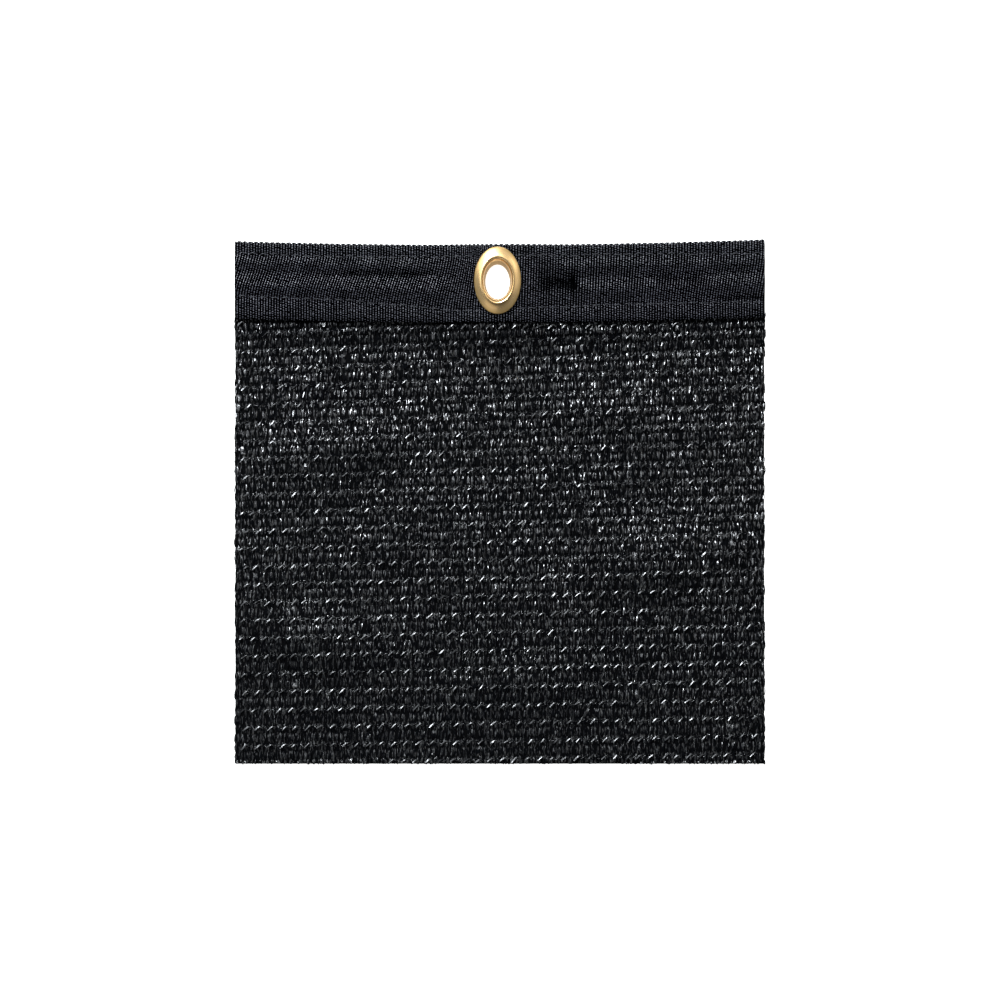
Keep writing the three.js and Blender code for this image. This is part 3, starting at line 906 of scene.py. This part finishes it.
def edge_webbing():
    """The webbing folded over the cloth's edge, each rib modelled. The ribs lean between
    the seams, where the two layers were sewn a little out of step. Its points carry the
    rib's number, the distance along it in dashes, and how deep in a crease they lie."""
    s = sizes()
    ribs = int((s.width / 2 + SPARE) / s.rib_pitch)
    turns = np.arange(-ribs * RIB_COLUMNS, ribs * RIB_COLUMNS + 1) / RIB_COLUMNS
    draw = np.random.default_rng(SEED + 8)
    wander = np.cumsum(draw.normal(0, WANDER_STEP, len(turns)))
    base_x = (turns + RIB_WANDER * (wander - wander.mean())) * s.rib_pitch
    ridge = s.rib_depth * (np.abs(np.sin(math.pi * turns)) ** RIB_CURVE)
    # Every other groove is deeper over the fold, which leaves the edge toothed
    tooth = TOOTH * (1 - np.cos(math.pi * turns))
    fold = binding_thickness() / 2
    outer, inner, inside, weave = [], [], [], []
    travelled = 0 * base_x
    for part, value in webbing_rows(base_x, fold):
        below = fold * (1 - math.cos(value)) if part == "fold" else value
        x = base_x + rib_lean(base_x, 0 if part == "back" else below)
        inside.append(np.abs(x) <= s.width / 2)
        x = np.clip(x, -s.width / 2, s.width / 2)
        sheet = []
        for depth in (s.webbing, s.rib_depth - ridge):
            edge = top_edge(x)
            y = edge - below
            if part == "fold":
                depth = depth + tooth * math.cos(value)
                y = edge - fold + (fold - depth) * math.cos(value)
                z = lift(x, edge - fold) + fold + (fold - depth) * math.sin(value)
            elif part == "back":
                z = lift(x, y) + depth
            else:
                z = lift(x, y) + 2 * fold - depth + relief(x, below)
            sheet.append(np.stack([x, y, z], -1))
        inner.append(sheet[0])
        outer.append(sheet[1])
        if len(outer) > 1:
            travelled = travelled + np.linalg.norm(outer[-1] - outer[-2], axis=-1)
        # The depth in a crease rides along in the weave, and the material paints shade in the
        # creases with it
        pressed = creases(x, below) if part == "face" else 0 * x
        weave.append(np.stack([turns, travelled / DASH, pressed / DEEP_CREASE], -1))
    inner, outer, inside, weave = map(np.array, (inner, outer, inside, weave))
    flat = [outside_hole(sheet[..., 0], sheet[..., 1]) for sheet in (inner, outer)]
    for sheet, (x, y, _) in zip((inner, outer), flat):
        sheet[..., 0], sheet[..., 1] = x, y
    points, faces, used = slab(inner, outer, inside & flat[1][2])
    piece = new_piece("binding_webbing", points, [faces], polyester_webbing)
    places = weave.reshape(-1, 3)[used].astype(np.float32)
    attribute = piece.data.attributes.new("weave", "FLOAT_VECTOR", "POINT")
    attribute.data.foreach_set("vector", places.ravel())
    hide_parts("edge_webbing")
    return piece


def seam_thread(name, seam, seed, bow):
    """One seam's thread: a row of stitches on the face and one on the back, each a
    short arc between two needle holes, pulled a little out of line."""
    s = sizes()
    draw = np.random.default_rng(seed)
    count = int(s.width / s.stitch)
    x0 = (np.arange(count) - (count - 1) / 2) * s.stitch
    t = np.linspace(-1, 1, STITCH_RINGS)[None, :]
    x = x0[:, None] + t * s.stitch * STITCH_HALF
    bow = draw.uniform(*bow, (count, 1)) * MM
    below = eased(seam, x) - bow * (1 - t ** 2)
    y = top_edge(x) - below
    arc = (1 - t ** 2) ** 0.5
    face = lift(x, y) + binding_thickness() + relief(x, below)
    face = face - STITCH_SUNK + arc * (STITCH_SUNK + s.thread / 2)
    back = lift(x, y) + BACK_HEIGHT - arc * BACK_ARCH
    clear = (rim_distance(x, y) > RIM_CLEAR).all(1)
    rows = [np.stack([x[clear], y[clear], z[clear]], -1) for z in (face, back)]
    radius = s.thread / 2
    points, faces = sweep(np.concatenate(rows), 0, radius, radius, round_section(5))
    return new_piece(name, points, faces, polyester_thread)


def rounded(profile, times=2):
    """A closed outline with its corners cut again and again until they are round."""
    points = np.asarray(profile, float)
    for _ in range(times):
        step = (np.roll(points, -1, 0) - points) / 4
        points = np.stack([points + step, points + 3 * step], 1).reshape(-1, 2)
    return points


def oval_turning(name, profile, steps=128):
    """Turns a closed outline of radius and height about the grommet's axis, and draws
    it in along X to the oval."""
    radius, height = (rounded(profile) * MM).T
    across, up = round_section(steps).T[..., None]
    x = GROMMET_X + FLANGE_X / FLANGE_Y * radius * across
    y = GROMMET_Y + radius * up
    points = np.stack([x, y, np.broadcast_to(height, x.shape)], -1)
    number = np.arange(x.size).reshape(x.shape)
    ahead = np.roll(number, -1, 0)
    faces = np.stack(
        [number, ahead, np.roll(ahead, -1, 1), np.roll(number, -1, 1)], -1).reshape(-1, 4)
    return new_piece(name, points.reshape(-1, 3), [faces], polished_brass)


def grommet_eyelet():
    """Flange on the face whose long flank falls to its rim, barrel that narrows through
    the layers, and its end curled out behind."""
    seat = (STACK_LIFT + binding_thickness() + FIT_GAP) / MM
    crest = GROMMET_HIGH.z / MM
    rim = FLANGE_Y / MM
    eyelet = oval_turning("grommet_eyelet", [
        (6.05, seat - 0.2), (5.8, 4.4), (5.6, 2.9), (5.5, 1.5), (5.5, 0.5), (5.85, 0.1),
        (6.5, 0.0), (7.6, 0.0), (8.15, 0.1), (8.15, 0.5), (7.7, 0.62), (6.7, 0.62),
        (6.3, 0.9), (6.35, seat - 0.1), (6.8, seat), (rim - 0.7, seat), (rim, seat - 0.05),
        (rim, seat + 0.3), (rim - 0.35, crest - 1.13), (rim - 0.95, crest - 0.83),
        (rim - 1.6, crest - 0.53), (rim - 2.2, crest - 0.28), (rim - 2.8, crest - 0.08),
        (rim - 3.3, crest), (rim - 3.65, crest - 0.1), (rim - 3.95, crest - 0.35),
        (rim - 4.2, crest - 0.7), (rim - 4.4, crest - 1.15),
    ])
    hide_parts("grommet")


def grommet_washer():
    """The dished ring under the layers, which the barrel is curled over."""
    raised = 0.9  # clear of the barrel's curled end
    inner = 6.6
    rim = (WASHER_HIGH.y - WASHER_LOW.y) / 2 / MM
    washer = oval_turning("washer_ring", [
        (inner, raised), (8.2, raised), (8.75, 0.05), (9.4, 0.0), (rim - 0.1, 0.0),
        (rim, 0.25), (rim, 0.6), (9.6, raised + 0.5), (8.6, raised + 0.6),
        (inner, raised + 0.6),
    ])
    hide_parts("grommet_washer")


CAMERA_HEIGHT = 650 * MM
SENSOR = 36.0
FRAME_WIDTH = 317.9 * MM  # what the picture's width takes in at the cloth
FRAME_PLANE = 1.5 * MM  # height of the cloth's face
FRAME_CENTRE = (0.08 * MM, 0.45 * MM)
TABLE_HALF = 1.6
TABLE_DROP = 0.05 * MM

# Softboxes: place and side in m, power in W
COOL, WARM, SURROUND = "F4F9FF", "FFFCF6", "ECF6FF"
SOFTBOXES = [
    {"name": "key", "place": (-0.34, 0.72, 0.78), "side": 0.3, "power": 16.5, "tint": COOL},
    {"name": "broad", "place": (-0.45, 0.72, 0.8), "side": 1.4, "power": 12, "tint": COOL},
    {"name": "right", "place": (0.42, 0.75, 0.72), "side": 0.6, "power": 0.8, "tint": COOL},
    {"name": "fill", "place": (0.8, 0.35, 0.65), "side": 0.9, "power": 1.3, "tint": WARM},
    {"name": "edge", "place": (0.75, 0.55, 0.4), "side": 0.3, "power": 0.4, "tint": WARM},
    {"name": "low", "place": (-0.45, -0.7, 0.7), "side": 0.8, "power": 1.0, "tint": WARM},
]
AIM = Vector((0, 0.02, 0))


def softbox(name, place, side, power, tint):
    """A square area light aimed at the cloth."""
    light = bpy.data.lights.new(name + "_softbox", "AREA")
    light.size = side
    light.energy = power
    light.color = linear(tint)
    lamp = bpy.data.objects.new(light.name, light)
    lamp.location = place
    lamp.rotation_euler = (AIM - Vector(place)).to_track_quat("-Z", "Y").to_euler()
    bpy.context.scene.collection.objects.link(lamp)


def studio_stage():
    """The white table, the softboxes, a surround that is pale low down and dark overhead,
    which keeps the cloth black, and the camera straight above."""
    half = TABLE_HALF
    points = [(-half, -half, 0), (half, -half, 0), (half, half, 0), (-half, half, 0)]
    mesh = bpy.data.meshes.new("floor")
    mesh.from_pydata(points, [], [(0, 1, 2, 3)])
    mesh.materials.append(material_of(white_acrylic))
    floor = bpy.data.objects.new("floor", mesh)
    floor.location.z = -TABLE_DROP
    bpy.context.scene.collection.objects.link(floor)
    for box in SOFTBOXES:
        softbox(**box)
    world = bpy.data.worlds.new("pale_surround")
    world.use_nodes = True
    tree = world.node_tree
    way = add_node(tree, "TexCoord")["Generated"]
    height = add_node(tree, "SeparateXYZ", links={0: way})["Z"]
    glow = add_node(
        tree, "MapRange", {"From Min": 0.6, "From Max": 0.93, "To Min": 0.38, "To Max": 0.02},
        {"Value": height})
    finish_shader(
        tree, {"Color": dyed(linear(SURROUND))}, {"Strength": glow["Result"]},
        shader="Background")
    bpy.context.scene.world = world
    camera = bpy.data.cameras.new("camera")
    camera.sensor_width = SENSOR
    camera.lens = SENSOR * (CAMERA_HEIGHT - FRAME_PLANE) / FRAME_WIDTH
    camera.clip_start, camera.clip_end = 0.01, 20
    viewer = bpy.data.objects.new("camera", camera)
    viewer.location = (*FRAME_CENTRE, CAMERA_HEIGHT)
    bpy.context.scene.collection.objects.link(viewer)
    bpy.context.scene.camera = viewer
    bpy.context.scene.view_settings.view_transform = "Standard"


class SCREEN_OT_stage(bpy.types.Operator):
    """Set up the floor, the lights and the camera"""

    bl_idname = "screen.stage"
    bl_label = "Studio stage"

    def execute(self, context):
        studio_stage()
        return {"FINISHED"}


class SCREEN_OT_knit(bpy.types.Operator):
    """Knit the shade cloth: its bed, the laid-in tapes and the chain stitches"""

    bl_idname = "screen.knit"
    bl_label = "Shade cloth"

    def execute(self, context):
        s = sizes()
        ground = knit_ground()
        upper = {
            "pitch": s.tape_pitch, "rings": 5, "arch": (0.4, 0.8), "half_width": (0.1, 0.26),
            "fold": (0.15, 0.75), "turns": 2}
        threads = [
            laid_tapes("tapes_upper_odd", SEED, turn=0, **upper),
            laid_tapes("tapes_upper_even", SEED + 1, turn=1, **upper),
            laid_tapes("tapes_lower", SEED + 2, pitch=s.tape_pitch * 1.5, rings=4,
                       arch=(0.15, 0.4), half_width=(0.25, 0.5), fold=(0.2, 0.6)),
            laid_tapes("tapes_back", SEED + 3, pitch=s.tape_pitch * 1.9, rings=3,
                       arch=(0.05, 0.2), half_width=(0.35, 0.65), fold=(0.2, 0.4), side=-1),
            chain_underlaps(),
            chain_loops("chain_loops_face", SEED + 6, side=1, corners=4),
            chain_loops("chain_loops_back", SEED + 7, side=-1, corners=3),
        ]
        return {"FINISHED"}


class SCREEN_OT_binding(bpy.types.Operator):
    """Fold the webbing over the cloth's edge and sew its two seams"""

    bl_idname = "screen.binding"
    bl_label = "Binding"

    def execute(self, context):
        webbing = edge_webbing()
        threads = [
            seam_thread("seam_upper", UPPER_SEAM, SEED + 9, (0.2, 0.8)),
            seam_thread("seam_lower", LOWER_SEAM, SEED + 10, (0.0, 0.35)),
        ]
        return {"FINISHED"}


class SCREEN_OT_grommet(bpy.types.Operator):
    """Press the brass grommet and its washer through the binding"""

    bl_idname = "screen.grommet"
    bl_label = "Grommet"

    def execute(self, context):
        grommet_eyelet()
        grommet_washer()
        return {"FINISHED"}


class SCREEN_PT_panel(bpy.types.Panel):
    """Lists the sizes, the colours and the steps"""

    bl_idname = "SCREEN_PT_panel"
    bl_label = "Shade screen"
    bl_space_type = "VIEW_3D"
    bl_region_type = "UI"
    bl_category = "Shade screen"

    def draw(self, context):
        layout = self.layout
        for group in (context.scene.screen_sizes, context.scene.screen_colours):
            box = layout.box()
            for key in group.__annotations__:
                box.prop(group, key)
        for operator in (SCREEN_OT_stage, SCREEN_OT_knit, SCREEN_OT_binding, SCREEN_OT_grommet):
            layout.operator(operator.bl_idname)


CLASSES = (
    ScreenSizes, ScreenColours, SCREEN_OT_stage, SCREEN_OT_knit, SCREEN_OT_binding,
    SCREEN_OT_grommet, SCREEN_PT_panel,
)


def register():
    for item in CLASSES:
        bpy.utils.register_class(item)
    bpy.types.Scene.screen_sizes = PointerProperty(type=ScreenSizes)
    bpy.types.Scene.screen_colours = PointerProperty(type=ScreenColours)


def unregister():
    del bpy.types.Scene.screen_colours
    del bpy.types.Scene.screen_sizes
    for item in reversed(CLASSES):
        bpy.utils.unregister_class(item)


def main():
    register()
    bpy.ops.screen.stage()
    bpy.ops.screen.knit()
    bpy.ops.screen.binding()
    bpy.ops.screen.grommet()


if __name__ == "__main__":
    main()
